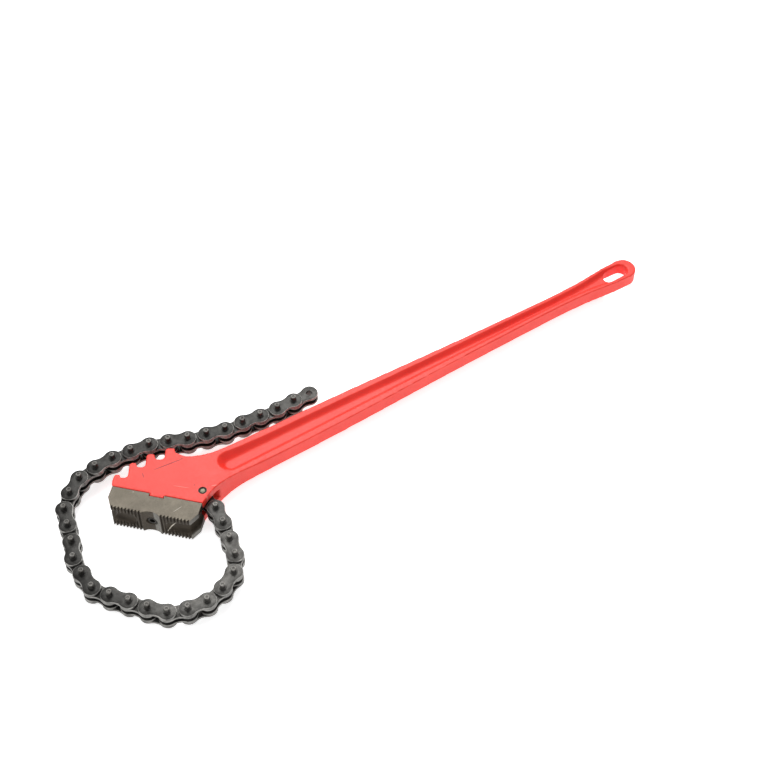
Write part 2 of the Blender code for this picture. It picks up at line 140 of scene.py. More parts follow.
# Edges sharper than this many degrees stay sharp: on turned pieces, on the chain, and on
# the two softened ones.
SHARP_TURNED, SHARP_CHAIN, SHARP_SOFTENED = 30, 35, 50

# Camera, from the fit of the chain's pins: metres and degrees in the row frame.
CAMERA_AT = (-0.4984, -0.7861, 1.2327)
CAMERA_TILT, CAMERA_HEADING = 51.12, 32.29
CAMERA_LENS, CAMERA_SENSOR = 72.16, 36.0

# The stage. Lights are (name, place, aim, width, power), in metres and watts.
FLOOR_HALF, FLOOR_BASE, FLOOR_TOP = 2500, -20, -0.1
FLOOR_GLOW, WORLD_GLOW = 0.7, 0.42
LIGHTS = (("softbox_behind", (0.5, 1.1, 1.7), (-0.05, 0.0, 0.0), 1.8, 38),
          ("softbox_left", (-1.6, 0.2, 1.3), (0.0, 0.0, 0.0), 1.2, 7),
          ("softbox_front", (0.3, -1.5, 0.8), (0.0, 0.0, 0.0), 1.0, 1.2))

# Marks on the finish: (middle, half length, half width, heading), in millimetres and degrees.
# Painted shade: darker red lines and dots for the folds and nicks in the forging, which the mesh
# lacks.
HEAD_FOLD_SHADES = [((-13.6, 44.9), 17.5, 0.7, -6), ((-40.2, 46.3), 3.4, 0.5, 74),
              ((0.8, 44.3), 0.9, 0.6, 0), ((-3.7, 9.7), 0.9, 0.6, 0)]
HEAD_SCRATCHES = [((-15.3, 14.6), 9.0, 0.35, -42), ((2.7, -8.4), 4.5, 0.8, 8),
                  ((12.3, -0.5), 3.2, 0.6, -20)]
JAW_SCRATCHES = [((-30.4, -6.5), 6.0, 0.35, 7), ((-57.0, 33.8), 0.8, 0.6, 0)]
# Painted highlight on the jaw's slanted ends, where its rails are ground, and its hollow's lit
# side.
JAW_PAINTED_HIGHLIGHTS = [((-22.1, -23.6), 8.5, 1.3, 16), ((-81.6, 35.9), 8.5, 1.3, 74),
              ((-50.2, -0.7), 4.5, 1.4, -71)]
# One deep scratch over a pad: (middle, half length, half width, heading, slope).
PAD_SCRATCH = ((-40.3, -10.9, 14.0), 9.5, 0.6, -45, 52)
# Half of a mark's size the way that it doesn't show: into a wall, or through the height.
SCRATCH_DEEP, THROUGH = 6, 1e6

# The share of its brightness that the oiled end of the chain keeps, and the way on the plan
# in which it gets dry, with the two ends of the change along it in metres.
OILED, DRY_WAY, DRY_SPAN = 0.4, (0.45, -0.89), (-0.12, -0.03)


# ---------------------------------------------------------------- plane shapes
def arc(centre, radius, start, end, steps):
    """Points on an arc, from one angle to the other, both in degrees."""
    angles = [radians(start + (end - start) * i / steps) for i in range(steps + 1)]
    return [(centre[0] + radius * cos(a), centre[1] + radius * sin(a)) for a in angles]


def smooth(stations, x, column=1):
    """The value in a column of the stations at x, on a smooth curve through them."""
    if x <= stations[0][0]:
        return stations[0][column]
    for i in range(len(stations) - 1):
        low, high = stations[i], stations[i + 1]
        if x <= high[0]:
            before, after = stations[max(i - 1, 0)], stations[min(i + 2, len(stations) - 1)]
            wide = high[0] - low[0]
            rise = (high[column] - low[column]) / wide
            starts = (high[column] - before[column]) / (high[0] - before[0]) if i else rise
            ends = (after[column] - low[column]) / (after[0] - low[0])
            t = (x - low[0]) / wide
            return (low[column] * (1 + 2 * t) * (1 - t) ** 2 + high[column] * t * t * (3 - 2 * t)
                    + wide * (starts * t * (1 - t) ** 2 - ends * t * t * (1 - t)))
    return stations[-1][column]


def from_jaw(u, v):
    """A point in the jaw's own axes, in the wrench's plane."""
    along = (cos(JAW_ANGLE), sin(JAW_ANGLE))
    return (u * along[0] + v * along[1], u * along[1] - v * along[0])


def hook_tip_y(x):
    return ARCH_TOP_Y - ARCH_FALL * (x - ARCH_TOP_X) ** 2


def by_hook(index, across, up):
    """A point by a hook's tip, measured across and up along the hook's leaning axis."""
    x = FIRST_HOOK_X + HOOK_STEP * index
    lean = radians(HOOK_LEAN)
    return (x + across * cos(lean) + up * sin(lean),
            hook_tip_y(x) - across * sin(lean) + up * cos(lean))


def next_flank(index):
    """How far the next hook's near flank is from a hook's axis, across it."""
    x = FIRST_HOOK_X + HOOK_STEP * index
    rise = hook_tip_y(x + HOOK_STEP) - hook_tip_y(x)
    lean = radians(HOOK_LEAN)
    return HOOK_STEP * cos(lean) - rise * sin(lean) - HOOKS[index + 1][0] / 2


def hook_outline(index):
    """One hook, from the pin seat on its right over its tip to its left shoulder."""
    wide, drop = HOOKS[index]
    seat_r = min(SEAT_R, drop - HOOK_TIP_R)
    points, floor = [], LAST_SEAT_FLOOR
    if index + 1 < len(HOOKS):
        foot = by_hook(index, next_flank(index) - SEAT_R, SEAT_R - drop)
        floor = SEAT_FLOOR
        points = arc(foot, SEAT_R, -HOOK_LEAN, floor - HOOK_LEAN, HOOK_STEPS)
    seat = by_hook(index, wide / 2 + seat_r, seat_r - drop)
    points += arc(seat, seat_r, floor - HOOK_LEAN, -180 - HOOK_LEAN, HOOK_STEPS)
    for side, radius, start in ((1, HOOK_TIP_R, 0), (-1, HOOK_BACK_R, 90)):
        corner = by_hook(index, side * (wide / 2 - radius), -radius)
        points += arc(corner, radius, start - HOOK_LEAN, start + 90 - HOOK_LEAN, HOOK_STEPS)
    return points


def head_outline():
    """The head and the beam seen from above, anticlockwise."""
    stations = range(BEAM[0][0], int(EYE_SLOT_LEFT), 8)
    near = [(x, BEAM_MID_Y - smooth(BEAM, x)) for x in stations]
    eye = arc((EYE_X, BEAM_MID_Y), EYE_R, -90, 90, steps=40)
    far = [(x, BEAM_MID_Y + smooth(BEAM, x)) for x in reversed(stations)]
    hooks = [point for index in reversed(range(len(HOOKS))) for point in hook_outline(index)]
    jaw_ends = [from_jaw(JAW_MID_U + side * JAW_HALF, JAW_SEAT_V) for side in (1, -1)]
    key = [from_jaw(JAW_MID_U + side * KEY_HALF, JAW_SEAT_V + high)
           for side, high in ((-1, 0), (-1, KEY_HIGH), (1, KEY_HIGH), (1, 0))]
    return (jaw_ends[:1] + NEAR_NECK + near + eye + far + FAR_NECK + hooks + FRONT_CORNERS
            + jaw_ends[1:] + key)


def pocket_outline(grow):
    """The recess between the beam's lips, which runs on round the hanging slot."""
    stations = range(int(POCKET_START) + 10, int(EYE_SLOT_LEFT), 6)
    half = [(x, max(smooth(BEAM, x, 2) + grow, POCKET_HALF_LEAST)) for x in stations]
    low = [(x, BEAM_MID_Y - h) for x, h in half]
    high = [(x, BEAM_MID_Y + h) for x, h in reversed(half)]
    right = arc((EYE_SLOT_RIGHT, BEAM_MID_Y), EYE_SLOT_R + grow, -90, 90, steps=20)
    start_r = BEAM[0][2]
    left = arc((POCKET_START + start_r, BEAM_MID_Y), start_r + grow, 90, 270, steps=20)
    return low + right + high + left


def eye_slot_outline():
    right = arc((EYE_SLOT_RIGHT, BEAM_MID_Y), EYE_SLOT_R, -90, 90, steps=24)
    left = arc((EYE_SLOT_LEFT, BEAM_MID_Y), EYE_SLOT_R, 90, 270, steps=24)
    return right + left


def link_slot_outline():
    """Room for the anchored link to swing, open towards the jaw's end."""
    wall, mouth = LINK_SLOT_WALL_X, LINK_SLOT_OPEN_Y
    shoulder = LINK_SLOT_R * sqrt(2) - wall
    around = arc((0, 0), LINK_SLOT_R, 45, 180, steps=20)
    return [(-LINK_SLOT_R, mouth), (wall, mouth), (wall, shoulder)] + around


def rectangle(left, low, right, high):
    return [(left, low), (right, low), (right, high), (left, high)]


def tooth_line(side):
    """The toothed pad on one side of the jaw's middle, from the middle outwards."""
    points = []
    for tooth in range(PAD_TEETH):
        start = PAD_START + tooth * TOOTH_PITCH
        for offset, drop in TOOTH:
            du = start + offset * TOOTH_PITCH
            points.append((JAW_MID_U + side * du, JAW_TIP_V - drop * TOOTH_DEPTH))
    return points


def jaw_outline():
    """The jaw block in its own axes."""
    pad_end = PAD_START + PAD_TEETH * TOOTH_PITCH
    seat, groove = JAW_SEAT_V + GAP, KEY_HALF + GAP
    left_end, right_end = JAW_MID_U - JAW_HALF, JAW_MID_U + JAW_HALF
    back = [(left_end, seat), (JAW_MID_U - groove, seat), (JAW_MID_U - groove, seat + KEY_HIGH),
            (JAW_MID_U + groove, seat + KEY_HIGH), (JAW_MID_U + groove, seat), (right_end, seat)]
    turns = [radians(degrees) for degrees in range(78, -79, -6)]
    recess = [(JAW_MID_U + RECESS_HALF * sin(a), JAW_TIP_V - RECESS_DEPTH * cos(a))
              for a in turns]
    right = [(right_end, JAW_SIDE_V), (JAW_MID_U + pad_end, JAW_TIP_V)]
    left = [(JAW_MID_U - pad_end, JAW_TIP_V), (left_end, JAW_SIDE_V)]
    pads = list(reversed(tooth_line(1))) + recess + tooth_line(-1)
    return back + right + pads + left


def plate_outline():
    """A waisted chain plate, centred between its two pins."""
    half = PITCH / 2
    waist_r = (half ** 2 + WAIST ** 2 - PLATE_R ** 2) / (2 * (PLATE_R - WAIST))
    waist_y = WAIST + waist_r
    reach = 180 - atan2(waist_y, half) * 180 / pi
    spread = 90 - atan2(waist_y, half) * 180 / pi
    right = arc((half, 0), PLATE_R, -reach, reach, steps=26)
    top = arc((0, waist_y), waist_r, -90 + spread, -90 - spread, steps=8)[1:-1]
    left = arc((-half, 0), PLATE_R, 180 - reach, 180 + reach, steps=26)
    bottom = arc((0, -waist_y), waist_r, 90 + spread, 90 - spread, steps=8)[1:-1]
    return right + top + left + bottom


# --------------------------------------------------------------- solid shapes
def new_object(name, work):
    """A linked object from a bmesh, with its faces turned outwards."""
    bmesh.ops.remove_doubles(work, verts=work.verts, dist=0.001)
    bmesh.ops.recalc_face_normals(work, faces=work.faces)
    mesh = bpy.data.meshes.new(name)
    work.to_mesh(mesh)
    work.free()
    made = bpy.data.objects.new(name, mesh)
    bpy.context.scene.collection.objects.link(made)
    return made


def lofted(name, loops, bands=None):
    """A closed solid through loops of equal length. The bands are the material numbers of
    the faces between one loop and the next, and of the first and the last cap."""
    work = bmesh.new()
    rings = [[work.verts.new(point) for point in loop] for loop in loops]
    bands = bands or [0] * (len(rings) + 1)
    count = len(rings[0])
    for low, high, band in zip(rings, rings[1:], bands):
        for i in range(count):
            face = work.faces.new((low[i], low[(i + 1) % count], high[(i + 1) % count], high[i]))
            face.material_index = band
    for cap, band in ((list(reversed(rings[0])), bands[-2]), (rings[-1], bands[-1])):
        work.faces.new(cap).material_index = band
    return new_object(name, work)


def inset(outline, amount):
    """The outline moved inwards, corner by corner."""
    count = len(outline)
    area = sum(outline[i - 1][0] * p[1] - p[0] * outline[i - 1][1] for i, p in enumerate(outline))
    turn = 1 if area > 0 else -1
    moved = []
    for i, (x, y) in enumerate(outline):
        (ax, ay), (bx, by) = outline[i - 1], outline[(i + 1) % count]
        one, two = hypot(x - ax, y - ay), hypot(bx - x, by - y)
        nx = -(y - ay) / one - (by - y) / two
        ny = (x - ax) / one + (bx - x) / two
        scale = 2 * amount * turn / max(nx * nx + ny * ny, MITRE_LEAST)
        moved.append((x + nx * scale, y + ny * scale))
    return moved


def slab(name, outline, z_low, z_high, bevel=0.0):
    """A flat solid from an outline, with rounded rims if it has a bevel."""
    steps = RIM_STEPS if bevel else ((0.0, 0.0),)
    low = [(share * bevel, z_low + rise * bevel) for share, rise in steps]
    high = [(share * bevel, z_high - rise * bevel) for share, rise in reversed(steps)]
    loops = [[(x, y, z) for x, y in (inset(outline, by) if by else outline)]
             for by, z in low + high]
    return lofted(name, loops, SLAB_BANDS if bevel else None)


def lathe(name, profile, sides, bands=None):
    """A round solid from an (r, z) profile, listed from its foot to its top."""
    loops = [[(r * cos(tau * i / sides), r * sin(tau * i / sides), z) for i in range(sides)]
             for r, z in profile]
    return lofted(name, loops, bands)


def combine(target, tool, operation="DIFFERENCE"):
    """Shape the target with the tool, and throw the tool away."""
    step = target.modifiers.new(tool.name, "BOOLEAN")
    step.operation, step.solver, step.object = operation, "MANIFOLD", tool
    settle(target)
    bpy.data.objects.remove(tool, do_unlink=True)


def settle(target):
    """Apply the target's modifiers to its mesh."""
    bpy.context.view_layer.update()
    depsgraph = bpy.context.evaluated_depsgraph_get()
    mesh = bpy.data.meshes.new_from_object(target.evaluated_get(depsgraph))
    target.modifiers.clear()
    target.data = mesh


def place(target, matrix):
    """Move an object's own vertices."""
    target.data.transform(matrix)
    return target


def finished(target, body, node, materials, angle=SHARP_TURNED):
    """Carry a piece to the row frame, give it its materials and let it stand for its node."""
    place(target, TO_ROW)
    target.data.materials.clear()  # a boolean can leave an empty slot
    dress(target, materials)
    shade(target, angle)
    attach(target, body)
    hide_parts(node)


def dress(target, materials):
    for finish in materials:
        target.data.materials.append(finish)


def shade(target, angle):
    target.data.shade_smooth()
    target.data.set_sharp_from_angle(angle=radians(angle))


def jaw_axis_matrix(v):
    """Carries an upright shape so that its +Z points out of the jaw's middle."""
    x, y = from_jaw(JAW_MID_U, v)
    turn = Matrix.Rotation(JAW_ANGLE, 4, "Z") @ Matrix.Rotation(pi / 2, 4, "X")
    return Matrix.Translation((x, y, MID_Z)) @ turn


# ------------------------------------------------------------------ materials
class Nodes:
    """A material's node tree, with short calls for the nodes used here."""

    def __init__(self, name, colour, roughness, metallic=0.0):
        self.material = bpy.data.materials.new(name)
        self.material.use_nodes = True
        self.tree = self.material.node_tree
        self.shader = self.tree.nodes["Principled BSDF"]
        self.shader.inputs["Base Color"].default_value = (*colour, 1)
        self.shader.inputs["Roughness"].default_value = roughness
        self.shader.inputs["Metallic"].default_value = metallic
        self.coordinates = self.tree.nodes.new("ShaderNodeTexCoord").outputs["Object"]

    def link(self, output, node, socket):
        self.tree.links.new(output, node.inputs[socket])

    def noise(self, scale, detail=3.0, rough=0.55, stretch=None):
        node = self.tree.nodes.new("ShaderNodeTexNoise")
        node.inputs["Scale"].default_value = scale
        node.inputs["Detail"].default_value = detail
        node.inputs["Roughness"].default_value = rough
        source = self.coordinates
        if stretch:
            mapping = self.tree.nodes.new("ShaderNodeMapping")
            mapping.inputs["Scale"].default_value = stretch
            self.link(source, mapping, "Vector")
            source = mapping.outputs["Vector"]
        self.link(source, node, "Vector")
        return node.outputs["Fac"]

    def ramp(self, source, stops):
        """stops is a list of (place, colour or grey)."""
        node = self.tree.nodes.new("ShaderNodeValToRGB")
        elements = node.color_ramp.elements
        while len(elements) < len(stops):
            elements.new(0.5)
        for element, (at, value) in zip(elements, stops):
            element.position = at
            element.color = (*value, 1) if isinstance(value, tuple) else (value,) * 3 + (1,)
        self.link(source, node, "Fac")
        return node.outputs["Color"]

    def mix(self, share, first, second):
        node = self.tree.nodes.new("ShaderNodeMix")
        node.data_type = "RGBA"
        self.link(share, node, "Factor")
        for socket, value in ((6, first), (7, second)):
            if isinstance(value, tuple):
                node.inputs[socket].default_value = (*value, 1)
            else:
                self.tree.links.new(value, node.inputs[socket])
        return node.outputs[2]

    def patch(self, middle, halves, turns, edge=0.3):
        """1 inside an ellipsoid, which is placed and sized in millimetres and turned in
        degrees, and 0 outside it."""
        mapping = self.tree.nodes.new("ShaderNodeMapping")
        mapping.vector_type = "TEXTURE"
        mapping.inputs["Location"].default_value = TO_ROW @ Vector(middle)
        mapping.inputs["Rotation"].default_value = [radians(turn) for turn in turns]
        mapping.inputs["Scale"].default_value = [half * MM for half in halves]
        self.link(self.coordinates, mapping, "Vector")
        gradient = self.tree.nodes.new("ShaderNodeTexGradient")
        gradient.gradient_type = "SPHERICAL"
        self.link(mapping.outputs["Vector"], gradient, "Vector")
        return self.ramp(gradient.outputs["Fac"], [(0.0, 0.0), (edge, 1.0)])

    def spot(self, middle, half_long, half_wide, heading=0.0, edge=0.3):
        """A long or round patch on the plan, whatever the height."""
        return self.patch((*middle, 0), (half_long, half_wide, THROUGH), (0, 0, heading), edge)

    def streak(self, middle, half_long, half_wide, heading, slope):
        """A line that climbs a wall."""
        return self.patch(middle, (half_long, SCRATCH_DEEP, half_wide), (0, -slope, heading))

    def upright(self):
        """1 on faces that look straight up or down, 0 on the sides."""
        normal = self.tree.nodes.new("ShaderNodeSeparateXYZ")
        self.link(self.tree.nodes["Texture Coordinate"].outputs["Normal"], normal, 0)
        size = self.tree.nodes.new("ShaderNodeMath")
        size.operation = "ABSOLUTE"
        self.link(normal.outputs["Z"], size, 0)
        return self.ramp(size.outputs[0], [(0.80, 0.0), (0.97, 1.0)])

    def along(self, way, start, end):
        """A blend from 0 to 1 along a direction of the plan, in metres."""
        product = self.tree.nodes.new("ShaderNodeVectorMath")
        product.operation = "DOT_PRODUCT"
        self.link(self.coordinates, product, 0)
        product.inputs[1].default_value = (*way, 0.0)
        blend = self.tree.nodes.new("ShaderNodeMapRange")
        self.link(product.outputs["Value"], blend, "Value")
        blend.inputs["From Min"].default_value = start
        blend.inputs["From Max"].default_value = end
        return blend.outputs["Result"]

    def add(self, first, second, weight):
        """first + second * weight."""
        node = self.tree.nodes.new("ShaderNodeMath")
        node.operation = "MULTIPLY_ADD"
        self.link(second, node, 0)
        node.inputs[1].default_value = weight
        self.link(first, node, 2)
        return node.outputs[0]

    def bump(self, height, strength, distance):
        node = self.tree.nodes.new("ShaderNodeBump")
        node.inputs["Strength"].default_value = strength
        node.inputs["Distance"].default_value = distance
        self.link(height, node, "Height")
        self.link(node.outputs["Normal"], self.shader, "Normal")

    def set(self, socket, output):
        self.link(output, self.shader, socket)


def red_paint():
    """Thick red enamel over a forging: even colour, soft waves and a fine orange peel, with
    painted shade in the forging's folds and nicks, pale scratches and painted shade round the
    anchor pin."""
    paint = Nodes("red_paint", (0.88, 0.05, 0.03), 0.42)
    fine = paint.noise(420, 3)
    colour = paint.ramp(paint.noise(26, 4), [(0.30, (0.84, 0.036, 0.022)),
                                             (0.70, (0.92, 0.052, 0.034))])
    specks = paint.ramp(paint.noise(900, 2), [(0.735, 0.0), (0.77, 1.0)])
    colour = paint.mix(specks, colour, (0.50, 0.03, 0.02))
    # Painted shade of the forging's folds and nicks, in darker red.
    for mark in HEAD_FOLD_SHADES:
        colour = paint.mix(paint.spot(*mark), colour, (0.36, 0.012, 0.01))
    for mark in HEAD_SCRATCHES:
        colour = paint.mix(paint.spot(*mark), colour, (0.92, 0.17, 0.13))
    # Painted shade: a near-black disc for the shade in the hole round the anchor pin.
    anchor_hole_shade = paint.spot((0.0, 0.0), 4.3, 4.3, edge=0.06)
    paint.set("Base Color", paint.mix(anchor_hole_shade, colour, (0.04, 0.022, 0.012)))
    paint.set("Roughness", paint.ramp(fine, [(0.3, 0.36), (0.7, 0.52)]))
    paint.bump(paint.add(fine, paint.noise(90, 3), 1.6), 0.2, 0.0003)
    paint.shader.inputs["Specular IOR Level"].default_value = 0.42
    return paint.material


def jaw_steel():
    """Forged steel with a brown-grey tint: the flats ground bright, the rest left dark and
    darkened further as painted shade.
    """
    steel = Nodes("jaw_steel", (0.12, 0.105, 0.085), 0.5, 0.75)
    mottle = steel.noise(60, 5, 0.65)
    grain = steel.noise(700, 4, 0.6)
    flats = steel.ramp(mottle, [(0.3, (0.105, 0.092, 0.072)), (0.7, (0.155, 0.136, 0.107))])
    # The sides: dark steel, made darker still as painted shade of the upright, toothed faces.
    sides = steel.ramp(mottle, [(0.3, (0.038, 0.030, 0.022)), (0.7, (0.074, 0.060, 0.044))])
    lines = steel.ramp(steel.noise(160, 6, 0.7, (9.0, 0.35, 1.0)), [(0.68, 0.0), (0.74, 1.0)])
    flats = steel.mix(lines, flats, (0.22, 0.195, 0.16))
    for mark in JAW_SCRATCHES:
        flats = steel.mix(steel.spot(*mark), flats, (0.27, 0.25, 0.21))
    # Painted highlights on the jaw's slanted ends and on the lit side of its hollow.
    for mark in JAW_PAINTED_HIGHLIGHTS:
        sides = steel.mix(steel.spot(*mark), sides, (0.20, 0.19, 0.17))
    sides = steel.mix(steel.streak(*PAD_SCRATCH), sides, (0.62, 0.58, 0.50))
    # Faces that look up get the flats' colour and sideways faces the sides': partly painted
    # shade.
    steel.set("Base Color", steel.mix(steel.upright(), sides, flats))
    steel.set("Roughness", steel.ramp(grain, [(0.25, 0.42), (0.75, 0.6)]))
    steel.bump(grain, 0.25, 0.00012)
    return steel.material


def dark_steel(name, low, high, oiled_share=OILED, roughness=(0.34, 0.55)):
    """Dark steel, blotched between two colours. Away from the dry end of the chain, oil
    darkens it to a share of them."""
    steel = Nodes(name, tuple((a + b) / 2 for a, b in zip(low, high)), 0.45, 0.8)
    blotch = steel.noise(150, 5, 0.65)
    grain = steel.noise(900, 4, 0.6)
    dry = steel.ramp(blotch, [(0.32, low), (0.68, high)])
    oiled = steel.ramp(blotch, [(0.32, tuple(c * oiled_share for c in low)),
                                (0.68, tuple(c * oiled_share for c in high))])
    steel.set("Base Color", steel.mix(steel.along(DRY_WAY, *DRY_SPAN), oiled, dry))
    steel.set("Roughness", steel.ramp(grain, [(0.3, roughness[0]), (0.7, roughness[1])]))
    steel.bump(steel.add(grain, blotch, 1.2), 0.3, 0.00015)
    return steel.material


MATERIALS = {
    "paint": red_paint(),
    "jaw": jaw_steel(),
    "screw": dark_steel("screw_steel", (0.05, 0.045, 0.04), (0.12, 0.11, 0.10)),
    "anchor": dark_steel("anchor_pin_steel", (0.12, 0.115, 0.08), (0.22, 0.21, 0.15), 1.0),
    "plate": dark_steel("chain_plate_steel", (0.042, 0.040, 0.037), (0.115, 0.112, 0.105)),
    "rim": dark_steel("chain_worn_rim_steel", (0.12, 0.117, 0.11), (0.45, 0.44, 0.415), 0.9),
    "edge": dark_steel("chain_plate_edge_steel", (0.10, 0.097, 0.092), (0.27, 0.265, 0.25), 0.9),
    "pin": dark_steel("chain_pin_steel", (0.08, 0.076, 0.07), (0.19, 0.185, 0.172), 0.7),
    "tip": dark_steel("chain_pin_tip_steel", (0.09, 0.086, 0.079), (0.19, 0.183, 0.17), 0.8),
}
CHAIN_FINISHES = [MATERIALS[key] for key in ("plate", "rim", "edge", "pin", "tip")]


# ----------------------------------------------------------------- the handle
def pocket_cutter(side):
    """A drafted recess with a rounded floor, from the web out through one face."""
    deepest = MID_Z + POCKET_PAST - WEB_HALF
    wall_foot, foot_growth = POCKET_FLOOR[-1]
    opening = (deepest, foot_growth + (deepest - wall_foot) * POCKET_DRAFT)
    loops = [[(x, y, MID_Z + side * (WEB_HALF + high)) for x, y in pocket_outline(grow)]
             for high, grow in POCKET_FLOOR + [opening]]
    return lofted("pocket", loops)


def side_profile():
    """The handle's thickness along its length, as (x, z) points, closest together where
    the head runs down to the beam."""
    stations = [*range(-110, 4, 38), *range(4, 120, 2), *range(125, 561, 15)]
    low = [(x, MID_Z - smooth(THICKNESS, x)) for x in stations]
    return low + [(x, HEAD_THICK - z) for x, z in reversed(low)]


def make_handle():
    handle = slab("handle_forging", head_outline(), 0, HEAD_THICK)
    profile = slab("side_profile", side_profile(), -PROFILE_REACH, PROFILE_REACH)
    combine(handle, place(profile, Matrix.Rotation(pi / 2, 4, "X")), "INTERSECT")
    for side in (-1, 1):
        combine(handle, pocket_cutter(side))
    combine(handle, slab("eye_slot", eye_slot_outline(), -PAST, HEAD_THICK + PAST))
    fork = rectangle(FORK_LEFT_X, FORK_FLOOR_Y, FORK_RIGHT_X, FORK_OPEN_Y)
    for name, outline, gap in (("fork", fork, FORK_GAP),
                               ("link_slot", link_slot_outline(), LINK_SLOT)):
        combine(handle, slab(name, outline, MID_Z - gap / 2, MID_Z + gap / 2))
    soften(handle, voxel=0.7, even_rounds=4, round_rounds=5, kept=0.3)
    hole = PIN_R + 1.5 * GAP
    ring = [(ANCHOR_RING_R + 0.2, -1.0), (ANCHOR_RING_R, ANCHOR_RING_DEEP),
            (hole, ANCHOR_RING_DEEP + 0.1)]
    far_ring = [(r, HEAD_THICK - z) for r, z in reversed(ring)]
    combine(handle, lathe("anchor_hole", ring + far_ring, sides=40))
    bore_r = SCREW_R + GAP
    bore = lathe("screw_hole", [(bore_r, SCREW_END_V - GAP), (bore_r, JAW_TIP_V)], sides=32)
    combine(handle, place(bore, jaw_axis_matrix(0)))
    finished(handle, "handle_assembly", "handle", [MATERIALS["paint"]],
             SHARP_SOFTENED)


def soften(target, voxel, even_rounds, round_rounds, kept):
    """Round a sharp solid's edges: remesh it, even out the steps without shrinking it,
    relax it a little and keep that share of its faces."""
    remesh = target.modifiers.new("remesh", "REMESH")
    remesh.mode = "VOXEL"
    remesh.voxel_size = voxel
    factors = [0.6, -0.62] * even_rounds + [0.5] * round_rounds
    for factor in factors:
        relax = target.modifiers.new("relax", "SMOOTH")
        relax.factor, relax.iterations = factor, 1
    thin = target.modifiers.new("thin", "DECIMATE")
    thin.ratio = kept
    settle(target)


# ------------------------------------------------------- the jaw and its screw
def make_jaw():
    jaw = slab("jaw_block", [from_jaw(u, v) for u, v in jaw_outline()], 0, HEAD_THICK)
    for side in (-1, 1):
        for start, end in CHANNEL_RUNS:
            ends = [from_jaw(JAW_MID_U + side * u, v) for u, v in (start, end)]
            combine(jaw, channel_cutter(*ends))
    seat, head, shank = SCREW_SEAT_V, SCREW_HEAD_R + GAP, SCREW_R + GAP
    profile = [(shank, 0), (shank, seat), (head, seat), (head, RECESS_V - 0.9),
               (head + 0.6, RECESS_V - 0.2), (head + 0.6, JAW_TIP_V + PAST)]
    combine(jaw, place(lathe("screw_seat", profile, sides=48), jaw_axis_matrix(0)))
    soften(jaw, voxel=0.36, even_rounds=1, round_rounds=1, kept=0.3)
    finished(jaw, "handle_assembly", "jaw", [MATERIALS["jaw"]], SHARP_SOFTENED)


def channel_cutter(start, end):
    """A round bar at mid height between two points of the plane."""
    bar = lathe("channel", [(CHANNEL_R, 0), (CHANNEL_R, dist(start, end))], sides=72)
    heading = atan2(end[1] - start[1], end[0] - start[0])
    turn = Matrix.Rotation(heading, 4, "Z") @ Matrix.Rotation(pi / 2, 4, "Y")
    return place(bar, Matrix.Translation((*start, MID_Z)) @ turn)


def make_screw():
    """A socket-headed screw; only its head shows."""
    under = SCREW_SEAT_V + GAP
    top = under + SCREW_HEAD_LONG
    profile = [(SCREW_R - 0.6, SCREW_END_V), (SCREW_R, SCREW_END_V + 0.6), (SCREW_R, under),
               (SCREW_HEAD_R - 0.2, under), (SCREW_HEAD_R, under + 0.2),
               (SCREW_HEAD_R, top - 0.6), (SCREW_HEAD_R - 0.2, top - 0.2),
               (SCREW_HEAD_R - 0.6, top)]
    screw = lathe("socket_screw", profile, sides=48)
    socket = [(SOCKET_R - 0.4, top - SOCKET_DEPTH - 0.6), (SOCKET_R, top - SOCKET_DEPTH),
              (SOCKET_R, top - 0.3), (SOCKET_R + 0.5, top + 0.2)]
    combine(screw, lathe("hex_socket", socket, sides=6))
    place(screw, jaw_axis_matrix(0))
    finished(screw, "handle_assembly", "jaw_screw", [MATERIALS["screw"]])


def make_anchor_pin():
    """A plain pin with rounded ends, a little below both faces of the head."""
    half = MID_Z - 0.4
    end = [(PIN_R, half - 0.6), (PIN_R - 0.15, half - 0.2), (PIN_R - 0.6, half)]
    profile = [(r, -z) for r, z in reversed(end)] + end
    pin = place(lathe("anchor_pin", profile, sides=40), Matrix.Translation((0, 0, MID_Z)))
    finished(pin, "handle_assembly", "chain_anchor_pin", [MATERIALS["anchor"]])


# ------------------------------------------------------------------ the chain
def plates(name, inner_face):
    """The two plates of a link, as one mesh."""
    outer_face = inner_face + PLATE_THICK
    upper = slab(name, plate_outline(), inner_face, outer_face, PLATE_BEVEL)
    lower = slab(name, plate_outline(), -outer_face, -inner_face, PLATE_BEVEL)
    join(upper, lower)
    dress(upper, CHAIN_FINISHES)
    return upper


def join(target, *others):
    """Add the others' meshes to the target's as separate shells."""
    work = bmesh.new()
    for piece in (target, *others):
        work.from_mesh(piece.data)
    work.to_mesh(target.data)
    work.free()
    for piece in others:
        bpy.data.objects.remove(piece, do_unlink=True)


def at_both_pins(profile, sides, bands):
    """A turned shape at each of the link's two pins, as one mesh with the chain's finishes."""
    first, second = (place(lathe("turned", profile, sides, bands),
                           Matrix.Translation((side * PITCH / 2, 0, 0))) for side in (-1, 1))
    join(first, second)
    dress(first, CHAIN_FINISHES)
    return first


def inner_link():
    """Two plates on two bushes, which are bored for the pins."""
    face = BUSH_LONG / 2
    link = plates("inner_link", face)
    bush = [(BUSH_R, -face - 1), (BUSH_R, face + 1)]
    combine(link, at_both_pins(bush, sides=40, bands=[PIN] * 3), "UNION")
    top = face + PLATE_THICK
    bore = [(BORE_R + 0.7, -top - 0.4), (BORE_R, -top + 0.3), (BORE_R, top - 0.3),
            (BORE_R + 0.7, top + 0.4)]
    combine(link, at_both_pins(bore, sides=32, bands=[RIM, PIN, RIM, PIN, PIN]))
    return link


